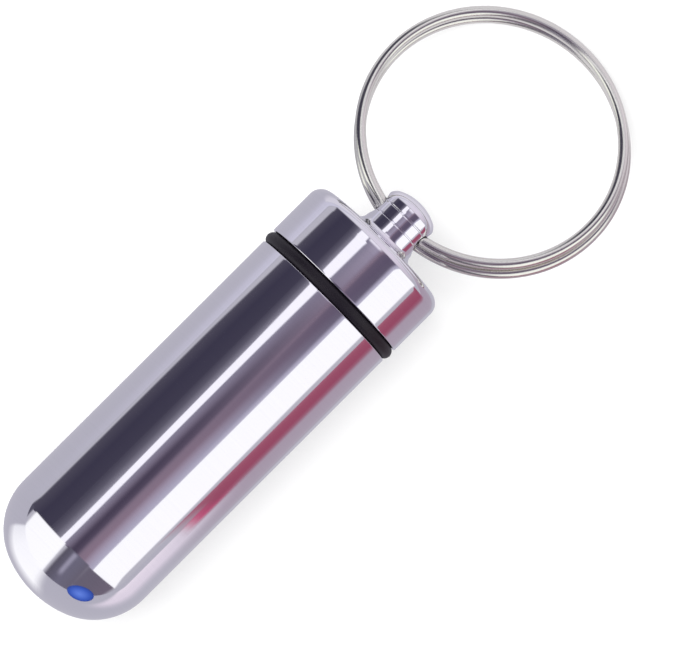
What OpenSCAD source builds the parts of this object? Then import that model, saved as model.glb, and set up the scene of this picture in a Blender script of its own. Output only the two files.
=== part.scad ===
// Pill fob keychain
// A small turned aluminium capsule with a rounded end, a rubber seal, a screw cap
// and a two-turn split ring through the knob of the cap.
// It lies on its side: +X runs from the rounded end to the ring, and +Z is up.
// All sizes are in millimetres.

/* [Capsule body] */
// Outer diameter of the body
body_d = 16.6; // [15.4:0.1:20]
// Length from the rounded end to the shoulder under the seal
body_len = 40.5; // [25:0.5:60]
// Radius where the side turns into the rounded end
end_corner_r = 6.9; // [4:0.1:7.5]
// Radius of the crown of the rounded end
end_crown_r = 10.5; // [9.5:0.5:20]
// Diameter of the pill chamber
chamber_d = 12; // [8:0.1:12.6]
// Thickness of metal behind the chamber
end_wall = 2.8; // [2:0.1:6]

/* [Screw neck] */
// Crest diameter of the neck's thread
thread_d = 14.4; // [14.1:0.1:14.6]
// Length of the neck above the shoulder
neck_len = 5.6; // [4.5:0.1:6]
// Clearance all round between the neck and the cap
thread_gap = 0.15; // [0.1:0.01:0.2]

/* [Seal] */
// Inner diameter of the rubber ring
seal_id = 14; // [13.6:0.1:14]
// Diameter of its round section
seal_section = 1.5; // [1.4:0.05:1.6]
// Gap between shoulder and cap that squeezes it
seal_gap = 1.4; // [1.2:0.05:1.4]

/* [Screw cap] */
// Outer diameter of the cap
cap_d = 16.8; // [16:0.1:20]
// Length from the rim to the middle of the crown
cap_len = 7; // [6.8:0.1:12]
// Radius of the shoulder
cap_corner_r = 1.5; // [0.6:0.1:1.8]
// Radius of the slightly domed top
cap_crown_r = 60; // [40:5:200]
// Depth of the hollow that takes the neck
cap_depth = 5; // [4.5:0.1:5.2]

/* [Knob] */
// Diameter of the knob
knob_d = 6; // [5:0.1:8]
// Height of the knob above the crown
knob_len = 5.1; // [4.6:0.1:7]
// Radius round the top of the knob
knob_corner_r = 1.5; // [0.5:0.1:1.8]
// Radius of the knob's domed top
knob_crown_r = 5; // [4:0.5:20]
// Radius of the fillet at the knob's foot
knob_fillet_r = 0.8; // [0.3:0.1:1]
// Diameter of the cross hole for the ring
hole_d = 3; // [2.9:0.05:3.2]
// Distance from the cross hole to the top of the knob
hole_drop = 2.8; // [2.6:0.05:3]

/* [Split ring] */
// Outer diameter of the lower turn
ring_od = 27.9; // [24:0.1:32]
// Diameter of the round wire
wire_d = 1.15; // [0.8:0.05:1.2]
// How much tighter the upper turn is, on its radius
turn_step = 0.15; // [0:0.05:0.3]
// How far the upper turn has slid sideways on the lower one
turn_slip = 0.42; // [0:0.01:0.5]
// Angle round the ring, from the knob, where the wire steps from turn to turn
step_at = 2; // [0:1:359]
// Angle that the step takes
step_arc = 26; // [20:1:60]
// Fall of the ring from the knob to the table
ring_fall = 15.9; // [0:0.1:30]
// Angle by which the ring has swung to one side in its hole
ring_yaw = 2.1; // [0:0.1:3]
// Angle by which the ring leans over in its hole
ring_lean = 4; // [0:0.1:4]

/* [Hidden] */

// Chamfer on the turned edges beside the seal
edge = 0.15;
// Play between two faces that meet without pressing
touch = 0.02;
// Lead-in chamfer at the mouth of the neck and of the cap
lead_in = 0.45;
// Width of the groove that the seal sits in, and its diameter
groove_w = seal_gap + 0.35;
groove_d = seal_id - 0.1;
// Corner and crown radii at the bottom of the chamber
chamber_corner_r = 2.5;
chamber_crown_r = 12;
// Degrees between the points of an arc in a turned profile
arc_step = 4;
// Degrees between sections of the ring's wire, and the sides of a section
wire_step = 5;
wire_sides = 12;

// Places along the capsule, measured from its rounded end
rim_at = body_len + seal_gap;
crown_at = rim_at + cap_len;
top_at = crown_at + knob_len;
hole_at = top_at - hole_drop;
// Height of the capsule's axis when it lies on its seal
axis_h = seal_id / 2 + seal_section;

// Points of an arc about c, as [radius, place along the axis]
function arc(c, r, from, to) =
    let (steps = max(1, ceil(abs(to - from) / arc_step)))
    [for (i = [0:steps])
        let (a = from + (to - from) * i / steps)
        [c[0] + r * cos(a), c[1] + r * sin(a)]];

// Place of the corner arc's centre behind the tip of a rounded end:
// the crown arc is centred on the axis and the corner arc touches it from inside
function corner_back(side_r, corner_r, crown_r) =
    crown_r - sqrt(pow(crown_r - corner_r, 2) - pow(side_r - corner_r, 2));

// Half angle that the crown arc spans before the corner arc takes over
function crown_angle(side_r, corner_r, crown_r) =
    asin((side_r - corner_r) / (crown_r - corner_r));

// Outline of a rounded end that faces +, from the side wall to the axis
function rounded_end(side_r, corner_r, crown_r, tip) =
    let (half = crown_angle(side_r, corner_r, crown_r))
    let (corner_at = tip - corner_back(side_r, corner_r, crown_r))
    concat(
        arc([side_r - corner_r, corner_at], corner_r, 0, 90 - half),
        arc([0, tip - crown_r], crown_r, 90 - half, 90));

// The same outline turned to face -, from the axis to the side wall
function rounded_start(side_r, corner_r, crown_r, tip) =
    let (points = rounded_end(side_r, corner_r, crown_r, -tip))
    [for (i = [len(points) - 1:-1:0]) [points[i][0], -points[i][1]]];

// A profile turned about the capsule's axis, which runs along +X
module turned(profile) {
    rotate([0, 90, 0])
        rotate_extrude($fn = 96)
            polygon(profile);
}

// Capsule body: rounded end, plain side, shoulder, seal groove and screw neck,
// with the chamber bored through the neck
function body_profile() =
    let (r = body_d / 2)
    let (neck_r = thread_d / 2)
    let (groove_r = groove_d / 2)
    let (bore_r = chamber_d / 2)
    let (mouth = body_len + neck_len)
    let (groove_end = body_len + groove_w)
    concat(
        rounded_start(r, end_corner_r, end_crown_r, 0),
        [[r, body_len - edge], [r - edge, body_len]],
        [[groove_r, body_len], [groove_r, groove_end]],
        [[neck_r, groove_end + neck_r - groove_r]],
        [[neck_r, mouth - lead_in], [neck_r - lead_in, mouth]],
        [[bore_r + edge, mouth], [bore_r, mouth - edge]],
        chamber_bottom());

// Bottom of the chamber, from its wall to the axis
function chamber_bottom() =
    let (points = rounded_start(chamber_d / 2, chamber_corner_r, chamber_crown_r, end_wall))
    [for (i = [len(points) - 1:-1:0]) points[i]];

module body() {
    color("#c9c8cf")
        turned(body_profile());
}

// Rubber ring: a round section flattened where the shoulder and the cap press it
module o_ring() {
    section_r = seal_section / 2;
    half_gap = seal_gap / 2 - touch;
    flat = asin(half_gap / section_r);
    centre = [seal_id / 2 + section_r, body_len + seal_gap / 2];
    color("#1d1b20")
        turned(concat(
            arc(centre, section_r, -flat, flat),
            arc(centre, section_r, 180 - flat, 180 + flat)));
}

// Outside of the cap from its rim to the top of the knob
function cap_outside() =
    let (r = cap_d / 2)
    let (knob_r = knob_d / 2)
    let (crown_centre = crown_at - cap_crown_r)
    let (corner_at = crown_at - corner_back(r, cap_corner_r, cap_crown_r))
    let (half = crown_angle(r, cap_corner_r, cap_crown_r))
    let (foot_r = knob_r + knob_fillet_r)
    let (foot = asin(foot_r / (cap_crown_r + knob_fillet_r)))
    let (foot_at = crown_centre + (cap_crown_r + knob_fillet_r) * cos(foot))
    concat(
        [[r - edge, rim_at], [r, rim_at + edge]],
        arc([r - cap_corner_r, corner_at], cap_corner_r, 0, 90 - half),
        arc([0, crown_centre], cap_crown_r, 90 - half, 90 - foot),
        arc([foot_r, foot_at], knob_fillet_r, 270 - foot, 180),
        rounded_end(knob_r, knob_corner_r, knob_crown_r, top_at));

// Hollow of the cap from its ceiling to the rim
function cap_inside() =
    let (bore_r = thread_d / 2 + thread_gap)
    [[0, rim_at + cap_depth],
     [bore_r - lead_in, rim_at + cap_depth],
     [bore_r, rim_at + cap_depth - lead_in],
     [bore_r, rim_at + edge],
     [bore_r + edge, rim_at]];

module screw_cap() {
    color("#cfced4")
        difference() {
            turned(concat(cap_outside(), cap_inside()));
            translate([hole_at, 0, 0])
                rotate([90, 0, 0])
                    cylinder(h = 2 * knob_d, d = hole_d, center = true, $fn = 64);
        }
}

// Split ring: one wire wound twice. The lower turn is centred on the hole's line,
// and the upper turn lies on it, tighter and slipped to one side.
lower_r = (ring_od - wire_d) / 2;
upper_r = lower_r - turn_step;
// Height of each turn above and below the ring's middle plane
turn_h = wire_d / 2 + touch;
// How far each wire lies to the cap's side of the hole's middle
lower_back = 0.42;
upper_back = 0.19;
// Distance of the turns' centres from the hole
lower_out = lower_r - lower_back;
upper_out = upper_r - upper_back;
// Length of the rounded tip at each end of the wire, in degrees of the ring
tip_arc = 2.4;

// How far the wire has stepped over at an angle, from 0 on the lower turn to 1
function stepped(a) =
    let (t = (a - step_at - 360 + step_arc / 2) / step_arc)
    let (c = min(1, max(0, t)))
    c * c * (3 - 2 * c);

// Centre line of the wire in the ring's own plane, by angle from the knob
function wire_at(a) =
    let (w = stepped(a))
    let (r = lower_r + (upper_r - lower_r) * w)
    let (out = lower_out + (upper_out - lower_out) * w)
    [out - r * cos(a), turn_slip * (w - 0.5) + r * sin(a), turn_h * (2 * w - 1)];

// Angles of the wire's sections, closer together at its two rounded ends
wire_from = step_at + step_arc / 2;
wire_to = wire_from + 720 - step_arc;
wire_steps = round((wire_to - wire_from - 2 * tip_arc) / wire_step);
wire_angles = concat(
    [wire_from, wire_from + tip_arc * 0.25],
    [for (i = [0:wire_steps])
        wire_from + tip_arc + (wire_to - wire_from - 2 * tip_arc) * i / wire_steps],
    [wire_to - tip_arc * 0.25, wire_to]);

// Share of the wire's radius that is left at an angle: the ends are rounded off
function wire_share(a) =
    let (t = min(a - wire_from, wire_to - a) / tip_arc)
    t >= 1 ? 1 : 0.45 + 0.55 * sqrt(1 - pow(1 - t, 2));

// One section of the wire, which stands across the ring
function wire_section(a) =
    let (c = wire_at(a))
    let (r = wire_d / 2 * wire_share(a))
    [for (k = [0:wire_sides - 1])
        let (b = 360 * k / wire_sides)
        [c[0] - r * cos(b) * cos(a), c[1] + r * cos(b) * sin(a), c[2] + r * sin(b)]];

// Faces of a tube through the sections, closed at both ends
function tube_faces(rings, sides) = concat(
    [[for (k = [0:sides - 1]) k]],
    [for (i = [0:rings - 2]) for (k = [0:sides - 1])
        let (next = (k + 1) % sides)
        [i * sides + k, (i + 1) * sides + k, (i + 1) * sides + next, i * sides + next]],
    [[for (k = [sides - 1:-1:0]) (rings - 1) * sides + k]]);

module split_ring() {
    points = [for (a = wire_angles) each wire_section(a)];
    color("#b9b7b6")
        translate([hole_at, 0, 0])
            rotate([-ring_lean, ring_fall, -ring_yaw])
                polyhedron(points, tube_faces(len(wire_angles), wire_sides));
}

// A point of the ring's own plane, seen where the ring lies: turned about X, Y and Z
function lying(p) =
    let (q = [p[0], p[1] * cos(ring_lean) + p[2] * sin(ring_lean),
              p[2] * cos(ring_lean) - p[1] * sin(ring_lean)])
    let (x = q[0] * cos(ring_fall) + q[2] * sin(ring_fall))
    [x * cos(ring_yaw) + q[1] * sin(ring_yaw), q[1] * cos(ring_yaw) - x * sin(ring_yaw)];

// Reach of the ring beyond the hole and to its two sides, which centres the part
wire_path = [for (a = wire_angles) lying(wire_at(a))];
far_reach = max([for (p = wire_path) p[0]]) + wire_d / 2;
side_shift = (max([for (p = wire_path) p[1]]) + min([for (p = wire_path) p[1]])) / 2;

module placed() {
    translate([-(hole_at + far_reach) / 2, -side_shift, axis_h])
        children();
}

placed() body();
placed() o_ring();
placed() screw_cap();
placed() split_ring();
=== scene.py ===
# %% [markdown]
# # A pill fob keychain in polished aluminium
#
# The object is a small turned capsule with a rounded end, a rubber ring, a screw cap with a knob, and
# a split ring of plated wire. Its metal is a mirror, so the picture is made of two things: very
# smooth surfaces, and what stands round them to be reflected. This lesson makes the surfaces with
# numpy, then the finishes, and then the cards that a product photographer would place round the
# metal.
#
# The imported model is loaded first. It gives the place and size of every piece, in metres, and each
# visible piece below is laid out from it.

# %% Load the frame
import math

import bmesh
import bpy
import numpy as np
from mathutils import Euler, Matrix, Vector


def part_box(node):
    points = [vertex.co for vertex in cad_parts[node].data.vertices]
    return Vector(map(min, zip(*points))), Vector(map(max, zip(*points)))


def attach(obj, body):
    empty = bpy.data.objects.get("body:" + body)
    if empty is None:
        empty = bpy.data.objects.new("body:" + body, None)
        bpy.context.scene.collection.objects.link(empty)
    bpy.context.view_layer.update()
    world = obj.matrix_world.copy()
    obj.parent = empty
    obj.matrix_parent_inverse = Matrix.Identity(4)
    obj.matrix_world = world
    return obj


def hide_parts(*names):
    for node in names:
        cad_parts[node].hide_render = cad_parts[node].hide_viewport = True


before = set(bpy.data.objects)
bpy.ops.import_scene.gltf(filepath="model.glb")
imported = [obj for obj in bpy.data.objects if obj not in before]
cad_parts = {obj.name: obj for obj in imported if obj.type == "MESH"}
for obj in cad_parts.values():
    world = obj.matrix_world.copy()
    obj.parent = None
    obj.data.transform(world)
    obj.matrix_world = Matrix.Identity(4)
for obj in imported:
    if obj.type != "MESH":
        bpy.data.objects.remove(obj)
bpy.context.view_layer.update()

# %% [markdown]
# ## Places along the capsule
#
# A turned part is drawn as half an outline: a radius at each place along its axis. All outlines here
# are in millimetres, and places are measured from the rounded end, as on a turner's drawing. The
# frame's boxes give the ends and diameters. The axis is read from the rubber ring's box, because the
# ring is the widest piece and is round. The radii of the corners can't be read from a box, so they
# are named where they are used.

# %% Read the main sizes
MM = 0.001
body_low, body_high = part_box("body")
seal_low, seal_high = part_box("o_ring")
cap_low, cap_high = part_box("screw_cap")

TIP_X = body_low.x
AXIS_Y = (seal_low.y + seal_high.y) / 2
AXIS_Z = (seal_low.z + seal_high.z) / 2


def along(x):
    """Place along the capsule in mm, of a place x in the frame: (x - tip) / 1 mm."""
    return (x - TIP_X) / MM


body_r = (body_high.z - body_low.z) / 2 / MM
cap_r = (cap_high.z - cap_low.z) / 2 / MM
seal_r = (seal_high.z - seal_low.z) / 2 / MM
mouth_at = along(body_high.x)
rim_at = along(cap_low.x)
top_at = along(cap_high.x)
print(f"body radius {body_r:.2f}, cap radius {cap_r:.2f}, seal radius {seal_r:.2f}")
print(f"mouth at {mouth_at:.2f}, rim at {rim_at:.2f}, top at {top_at:.2f} mm from the rounded end")

# %% [markdown]
# ## The camera
#
# The photograph was taken almost straight from above, turned so that the capsule runs from the lower
# left to the upper right. Nearly every line of the object stays parallel in it, which means a long
# lens from about 0.8 m. The camera comes first, so that each later step can be looked at through it.

# %% Place the camera
PICTURE_W, PICTURE_H = 680, 646
SENSOR_MM = 36
CAMERA_AZIMUTH, CAMERA_ELEVATION = -45.0, 86.15
CAMERA_DISTANCE = 0.8
PIXELS_PER_MM = 10.162
# The picture shows the point of the axis 38 mm from the rounded end at this pixel
AIMED_AT_MM = 38
SEEN_AT = (305.6, 318.3)

camera = bpy.data.objects.new("camera", bpy.data.cameras.new("camera"))
bpy.context.scene.collection.objects.link(camera)
bpy.context.scene.camera = camera
camera.data.sensor_width = SENSOR_MM
camera.data.lens = SENSOR_MM * (CAMERA_DISTANCE / MM) * PIXELS_PER_MM / PICTURE_W
turn = Euler((math.radians(90 - CAMERA_ELEVATION), 0, math.radians(CAMERA_AZIMUTH))).to_matrix()
to_right, to_top, to_camera = turn.col[0], turn.col[1], turn.col[2]
aim = Vector((TIP_X + AIMED_AT_MM * MM, AXIS_Y, AXIS_Z))
aim += to_right * (PICTURE_W / 2 - SEEN_AT[0]) / PIXELS_PER_MM * MM
aim -= to_top * (PICTURE_H / 2 - SEEN_AT[1]) / PIXELS_PER_MM * MM
camera.location = aim + to_camera * CAMERA_DISTANCE
camera.rotation_euler = turn.to_euler()
camera.data.clip_start, camera.data.clip_end = 0.05, 10
print(f"lens {camera.data.lens:.0f} mm, {CAMERA_DISTANCE} m away")

# %% [markdown]
# ## Outlines with true arcs
#
# A mirror shows every flat and every kink. An outline drawn by hand as a string of points would
# ripple, so these are made of arcs and straight stretches that touch each other, and need only the
# radii that stand on a turner's drawing. The first helper gives the points of an arc, one for every
# two degrees.

# %% Points of an arc
ARC_STEP = 2.0


def arc(centre, radius, start, end, step=ARC_STEP):
    """Points [radius, along] of an arc: centre + radius * (cos a, sin a), a from start to end degrees."""
    count = max(2, int(math.ceil(abs(end - start) / step)) + 1)
    a = np.radians(np.linspace(start, end, count))
    return np.column_stack([centre[0] + radius * np.cos(a), centre[1] + radius * np.sin(a)])


print("a quarter of an arc has", len(arc((0, 0), 1, 0, 90)), "points")

# %% [markdown]
# No edge of a turned and polished part is sharp. The second helper walks along corner points and puts
# a small arc into each corner. A Bevel modifier could do it on the mesh, but its width would have to
# suit the whole piece, while a turner breaks the rim of a cap more than the edge of a groove.

# %% Ease the corners of an outline
EASE_STEP = 10.0


def eased(corners):
    """Corner points [radius, along, easing radius], joined by straight lines with an arc in each corner.

    With unit directions u and v from a corner to its neighbours and the angle w between them, the arc's
    centre lies at corner + (u + v) / |u + v| * r / sin(w / 2), and it touches the lines at r / tan(w / 2).
    """
    path = [np.array([corners[0][:2]], float)]
    for before, here, after in zip(corners, corners[1:], corners[2:]):
        p, radius = np.array(here[:2], float), here[2]
        u = np.array(before[:2]) - p
        v = np.array(after[:2]) - p
        u, v = u / np.hypot(*u), v / np.hypot(*v)
        half = math.acos(np.clip(u @ v, -1, 1)) / 2
        middle = (u + v) / np.hypot(*(u + v))
        centre = p + middle * radius / math.sin(half)
        first = p + u * radius / math.tan(half) - centre
        last = p + v * radius / math.tan(half) - centre
        start = math.degrees(math.atan2(first[1], first[0]))
        swing = math.degrees(math.atan2(last[1], last[0])) - start
        swing = (swing + 180) % 360 - 180
        path.append(arc(centre, radius, start, start + swing, EASE_STEP))
    path.append(np.array([corners[-1][:2]], float))
    return np.vstack(path)


print("a square corner is eased with", len(eased([(0, 0, 0), (1, 0, 0.1), (1, 1, 0)])) - 2, "points")

# %% [markdown]
# Smooth shading spreads the turn of a normal over a whole face. A long face next to a small arc would
# take part in its bend, and the reflection on the straight side would curl. So long stretches get
# more points.

# %% Add points to long stretches
def spaced(path, longest):
    """The same path with points added, so that no stretch is longer than `longest` mm."""
    pieces = []
    for a, b in zip(path[:-1], path[1:]):
        count = max(1, int(math.ceil(np.hypot(*(b - a)) / longest)))
        pieces.append(a + (b - a) * np.arange(count)[:, None] / count)
    return np.vstack([*pieces, path[-1:]])


print("a stretch of 10 mm in steps of 2:", len(spaced(np.array([[0, 0], [0, 10.0]]), 2)), "points")

# %% [markdown]
# The rounded end, the floor of the bore and the top of the knob are the same shape at three sizes: a
# flat crown that runs into a tighter corner. Half a ball would be easier to draw, but the photograph
# shows an end that is blunter than that. Both arcs touch, because their centres and the point where
# they meet lie on one line.

# %% Draw a rounded end
def rounded_end(side_r, corner_r, crown_r, tip):
    """Rounded end that faces the ring: a crown arc centred on the axis and a corner arc that touches both.

    The corner's centre is crown_r - corner_r from the crown's centre and side_r - corner_r from the axis.
    """
    half = math.degrees(math.asin((side_r - corner_r) / (crown_r - corner_r)))
    back = crown_r - math.sqrt((crown_r - corner_r) ** 2 - (side_r - corner_r) ** 2)
    corner = arc((side_r - corner_r, tip - back), corner_r, 0, 90 - half)
    crown = arc((0, tip - crown_r), crown_r, 90 - half, 90)
    return np.vstack([corner, crown[1:]])


def rounded_start(side_r, corner_r, crown_r, tip):
    """The same end facing the other way, from the axis to the side."""
    points = rounded_end(side_r, corner_r, crown_r, -tip)[::-1]
    return points * [1, -1]


print(f"an end of radius 8 with arcs of 6 and 10 is {rounded_start(8, 6, 10, 0)[-1, 1]:.2f} deep")

# %% [markdown]
# ## From outline to grid
#
# A lathe makes a surface by turning an outline, and so does numpy: the grid has one row for each
# point of the outline and one column for each step round the axis, all worked out at once. Blender's
# Screw modifier would do that too, but it can't lay a thread into the neck. With 256 steps the flats
# are 0.2 mm wide, too narrow to see.

# %% Turn an outline about the axis
SIDES = 256


def turned(outline, relief=None):
    """Grid of points of an outline turned about the axis: y = r cos t, z = r sin t, and x runs along it.

    relief(angle, along) says how much the radius is less than the outline's at each point, in mm.
    """
    t = np.linspace(0, 2 * np.pi, SIDES, endpoint=False)[None, :]
    r, x = outline[:, :1], outline[:, 1:]
    if relief:
        r = r - relief(t, x)
    x = x + 0 * t
    return np.stack([TIP_X + x * MM, AXIS_Y + r * np.cos(t) * MM, AXIS_Z + r * np.sin(t) * MM], axis=-1)


print(f"flats on the body are {2 * math.pi * body_r / SIDES:.2f} mm wide")

# %% [markdown]
# ## From grid to mesh
#
# The faces of a grid follow from its number of rows and columns alone, so one line of numpy lists
# them for every turned piece, for the wire, and later for the cards. The last column is joined to
# the first. The rows are joined like that only for a shape that is closed in both directions, such
# as the rubber ring.

# %% List the faces of a grid
def quads(rows, columns, rows_close=False):
    """Faces (i, j), (i, j+1), (i+1, j+1), (i+1, j) of a grid whose columns close on themselves."""
    last = rows if rows_close else rows - 1
    i, j = np.meshgrid(np.arange(last), np.arange(columns), indexing="ij")
    below, right = (i + 1) % rows, (j + 1) % columns
    corners = [i * columns + j, i * columns + right, below * columns + right, below * columns + j]
    return np.stack(corners, axis=-1).reshape(-1, 4)


print("a tube of 3 rows and 8 columns has", len(quads(3, 8)), "faces")

# %% [markdown]
# Where an outline starts or ends on the axis, a whole row of points falls on one spot, and merging
# them closes the surface with a fan of triangles. The next helper does that and makes the mesh. It
# also prints the volume and the number of open edges: a closed solid has none, and its volume is
# positive when its faces point outwards.

# %% Make a solid from points and faces
MERGE_MM = 0.0005


def solid(name, points, faces, outward=False):
    """A smooth mesh object with doubles merged and, if asked, its faces turned outwards."""
    mesh = bpy.data.meshes.new(name)
    mesh.from_pydata(points.reshape(-1, 3).tolist(), [], faces.tolist())
    form = bmesh.new()
    form.from_mesh(mesh)
    bmesh.ops.remove_doubles(form, verts=form.verts, dist=MERGE_MM * MM)
    if outward:
        bmesh.ops.recalc_face_normals(form, faces=form.faces)
    volume = form.calc_volume(signed=True) / MM**3
    open_edges = sum(not edge.is_manifold for edge in form.edges)
    form.to_mesh(mesh)
    form.free()
    mesh.shade_smooth()
    made = bpy.data.objects.new(name, mesh)
    bpy.context.scene.collection.objects.link(made)
    print(f"{name}: {len(mesh.polygons)} faces, {volume:.1f} mm3, {open_edges} open edges")
    return made


# %% [markdown]
# ## The thread
#
# The neck carries a fine right-hand thread with a pitch of 1 mm. The cap climbs 1 mm for each turn,
# and comes off after four turns. A thread is a height that winds round the neck: the depth of the
# groove depends only on (place / pitch - angle / one turn), so that one turn moves the same shape on
# by one pitch. The crest of the neck's thread lies in the root of the cap's, so both use the same
# wave, half a pitch apart.

# %% Draw the thread's wave
PITCH = 1.0
THREAD_DEPTH = 0.6
# Share of the pitch that half a crest takes, and that one flank takes at 30 degrees to the upright
HALF_CREST = 1 / 16
FLANK = THREAD_DEPTH * math.tan(math.radians(30)) / PITCH


def thread_wave(angle, place):
    """Depth below the crest in mm: 0 on the crest, rising along the flank, and flat in the root."""
    phase = (place / PITCH - angle / (2 * np.pi)) % 1.0
    from_crest = np.minimum(phase, 1 - phase)
    return THREAD_DEPTH * np.clip((from_crest - HALF_CREST) / FLANK, 0, 1)


def ramp(place, start, end):
    """0 before start and 1 after end, with a straight rise between them."""
    return np.clip((place - start) / (end - start), 0, 1)


print(f"of the pitch, crest {2 * HALF_CREST:.2f}, flanks {2 * FLANK:.2f}")

# %% [markdown]
# ## The capsule body
#
# The body is bar stock, turned on the outside, bored from the mouth for the pills, and polished. Its
# round end isn't half a ball: a flatter crown runs into a corner of 6.9 mm radius. At the other end a
# square shoulder carries the rubber ring, which sits in a shallow groove, and above it comes the
# threaded neck. One outline goes all the way: from the tip over the side, down the neck and back
# through the bore.

# %% Draw the body's outline
END_CORNER_R, END_CROWN_R = 6.9, 10.5
SHOULDER_AT = 40.5
GROOVE_R, GROOVE_END = 6.95, 42.25
NECK_R, LEAD_IN = 7.2, 0.45
CHAMBER_R, CHAMBER_CORNER_R, CHAMBER_CROWN_R, END_WALL = 6.0, 2.5, 12.0, 2.8
# How far the turned edges are broken: a rim or shoulder, a groove, a thread's end, the mouth of the bore
EDGE_EASE, GROOVE_EASE, THREAD_EASE, MOUTH_EASE = 0.15, 0.08, 0.05, 0.12
# Rows at this distance from the ends of a long side keep the bend of its arcs off it
SUPPORT = 0.4
NECK_ROWS = 2.0

outside = rounded_start(body_r, END_CORNER_R, END_CROWN_R, 0)
side_rows = [outside[-1, 1] + SUPPORT, SHOULDER_AT - SUPPORT, SHOULDER_AT - SUPPORT / 2]
straight = np.array([[body_r, at] for at in side_rows])
neck = eased([
    (body_r, outside[-1, 1], 0), (body_r, SHOULDER_AT, EDGE_EASE), (GROOVE_R, SHOULDER_AT, GROOVE_EASE),
    (GROOVE_R, GROOVE_END, GROOVE_EASE), (NECK_R, GROOVE_END + NECK_R - GROOVE_R, THREAD_EASE),
    (NECK_R, mouth_at - LEAD_IN, THREAD_EASE), (NECK_R - LEAD_IN, mouth_at, GROOVE_EASE),
    (CHAMBER_R, mouth_at, MOUTH_EASE), (CHAMBER_R, mouth_at - 1, 0)])
chamber = rounded_start(CHAMBER_R, CHAMBER_CORNER_R, CHAMBER_CROWN_R, END_WALL)[::-1]
body_outline = np.vstack([outside, straight, spaced(neck[1:], NECK_ROWS), chamber])
print(f"body outline: {len(body_outline)} points, side from {outside[-1, 1]:.1f} to {SHOULDER_AT} mm")

# %% [markdown]
# The thread needs rows much closer than its pitch, but only on the neck. That stretch of the outline
# is drawn again at 0.05 mm, and the relief lowers its points by the thread's wave. The chamfer at the
# mouth is lower than the crest already, so the wave goes only as deep as is left below it, and the
# thread runs out on the chamfer as a cut one does.

# %% Cut the thread and make the body
BODY_THREAD_ROWS = 0.05

thread_rows = (body_outline[:, 0] > CHAMBER_R + 0.3) & (body_outline[:, 1] > GROOVE_END)
first, last = np.flatnonzero(thread_rows)[[0, -1]]
body_outline = np.vstack([
    body_outline[:first], spaced(body_outline[first:last + 1], BODY_THREAD_ROWS),
    body_outline[last + 1:]])


def neck_relief(angle, place):
    """The thread's wave less the depth that the outline has anyway, on the neck beyond its groove."""
    on_neck = (body_outline[:, :1] > NECK_R - LEAD_IN - 0.1) & (place > GROOVE_END)
    left = body_outline[:, :1] - (NECK_R - THREAD_DEPTH)
    wave = thread_wave(angle, place) * ramp(place, GROOVE_END + 0.1, GROOVE_END + 0.8)
    return np.where(on_neck, np.clip(wave - (NECK_R - body_outline[:, :1]), 0, np.maximum(left, 0)), 0)


body_points = turned(body_outline, neck_relief)
body = solid("capsule_body", body_points, quads(*body_points.shape[:2]))

# %% [markdown]
# ## The rubber ring
#
# The seal is a 14 x 1.5 mm O-ring. It is a ring of round section, squeezed a little between the
# shoulder and the cap, so its sides are flat where the metal presses it. A torus from Blender's menu
# would miss that. Moulded rings have a fine parting line round the outside, where the two halves of
# the mould met, and here it stands 0.02 mm proud.

# %% Make the rubber ring
SEAL_SECTION_R, SECTION_STEP = 0.75, 3.0
FLASH, FLASH_HALF_ANGLE = 0.02, 4.0
seal_half = (seal_high.x - seal_low.x) / 2 / MM
seal_at = along((seal_low.x + seal_high.x) / 2)

around = np.radians(np.arange(0, 360, SECTION_STEP))
section_r = SEAL_SECTION_R - FLASH
section_out = section_r * np.cos(around)
off_line = np.abs(np.degrees(np.sin(around)))
section_out += FLASH * np.clip(1 - off_line / FLASH_HALF_ANGLE, 0, 1) * (section_out > 0)
section_side = np.clip(section_r * np.sin(around), -seal_half, seal_half)
seal_centre_r = seal_r - SEAL_SECTION_R
seal_outline = np.column_stack([seal_centre_r + section_out, seal_at + section_side])
seal_points = turned(seal_outline)
seal = solid("rubber_ring", seal_points, quads(*seal_points.shape[:2], rows_close=True))

# %% [markdown]
# ## The screw cap
#
# Cap and knob are one turned piece. Inside it is a plain bore with the mating thread and a flat
# ceiling. The outline starts in the middle of the ceiling, runs down the bore and turns round the
# rim. Three row spacings are used: wide on the ceiling, which nobody sees, close in the thread, and
# close beside the rim.

# %% Draw the inside of the cap
CAP_BORE_R, CAP_DEPTH = 7.35, 5
CEILING_AT = rim_at + CAP_DEPTH
CEILING_EASE = 0.1
CEILING_ROWS, CAP_THREAD_ROWS, RIM_ROWS = 1.0, 0.06, 0.08


def in_bore(outline):
    """True for the points of an outline that lie on the cap's bore."""
    return np.abs(outline[:, 0] - CAP_BORE_R) < 0.02


inside = eased([
    (0, CEILING_AT, 0), (CAP_BORE_R - LEAD_IN, CEILING_AT, CEILING_EASE),
    (CAP_BORE_R, CEILING_AT - LEAD_IN, THREAD_EASE), (CAP_BORE_R, rim_at, EDGE_EASE),
    (cap_r, rim_at, EDGE_EASE), (cap_r, rim_at + 1, 0)])
first, last = np.flatnonzero(in_bore(inside))[[0, -1]]
inside = np.vstack([
    spaced(inside[:first], CEILING_ROWS), spaced(inside[first:last + 1], CAP_THREAD_ROWS),
    spaced(inside[last + 1:], RIM_ROWS)])
print(f"inside of the cap: {len(inside)} points, ceiling at {CEILING_AT:.2f} mm")

# %% [markdown]
# Outside, the side runs through a 1.5 mm shoulder into a slightly domed top, and a small fillet leads
# up into the knob. The crown of the top is so flat that it spans only a few degrees of its large
# circle, so its steps are a tenth of a degree. Its last point is where the fillet touches it.

# %% Draw the outside of the cap
CAP_CORNER_R, CAP_CROWN_R, CROWN_STEP = 1.5, 60.0, 0.1
KNOB_R, KNOB_CORNER_R, KNOB_CROWN_R, KNOB_FILLET_R = 3.0, 1.5, 5.0, 0.8
KNOB_LEN, KNOB_ROWS = 5.1, 0.15
crown_at = top_at - KNOB_LEN

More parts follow.
